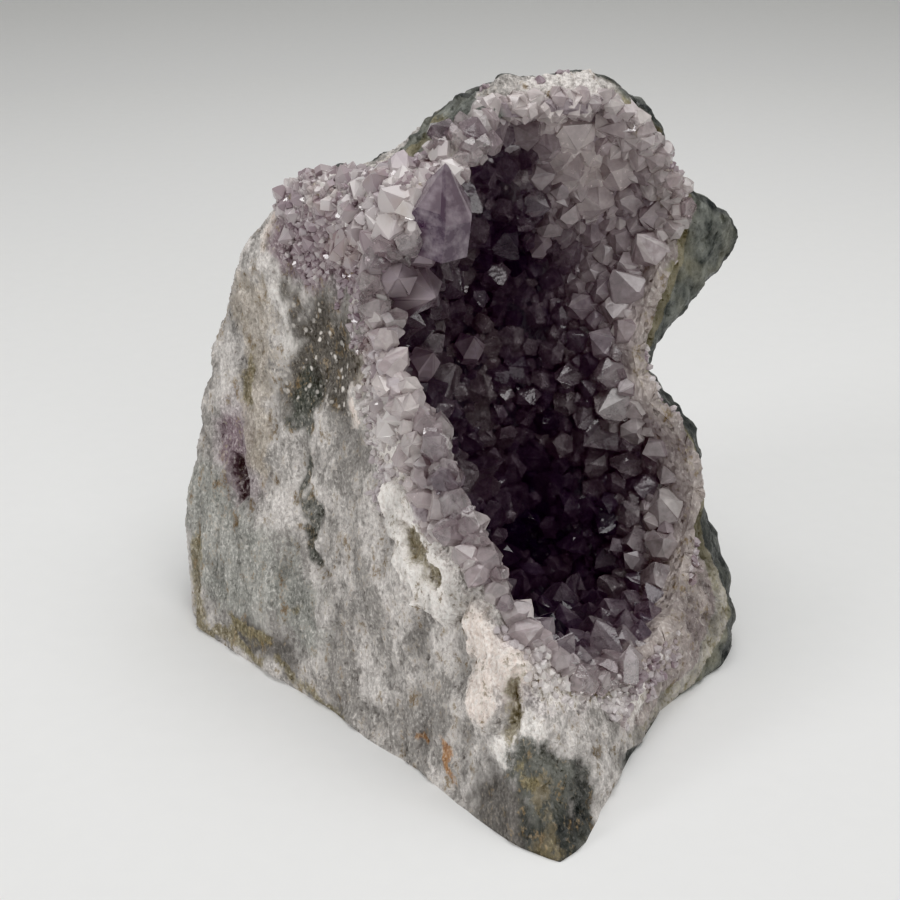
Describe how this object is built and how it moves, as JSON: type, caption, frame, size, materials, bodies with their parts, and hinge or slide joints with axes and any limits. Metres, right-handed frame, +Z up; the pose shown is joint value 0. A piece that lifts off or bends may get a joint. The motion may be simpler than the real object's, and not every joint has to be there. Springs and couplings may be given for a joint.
{
  "type": "amethyst geode",
  "caption": "Chunk of an amethyst geode on a sawn flat base, with a deep open hollow lined with crystal points.",
  "frame": {"origin": "under the middle of the part's box, on the sawn base", "axes": "+Z up, out of the sawn base; -Y towards the front tip, between the broken face on the left and the mouth on the right; +X to the right"},
  "size_m": [0.112, 0.1132, 0.1083],
  "materials": {
    "quartz_rock": "rough broken quartz with a grey-green rind",
    "amethyst": "glossy translucent violet crystal faces"
  },
  "bodies": {
    "root": {"matrix": "quartz_rock", "cavity_druse": "amethyst"}
  },
  "joints": []
}
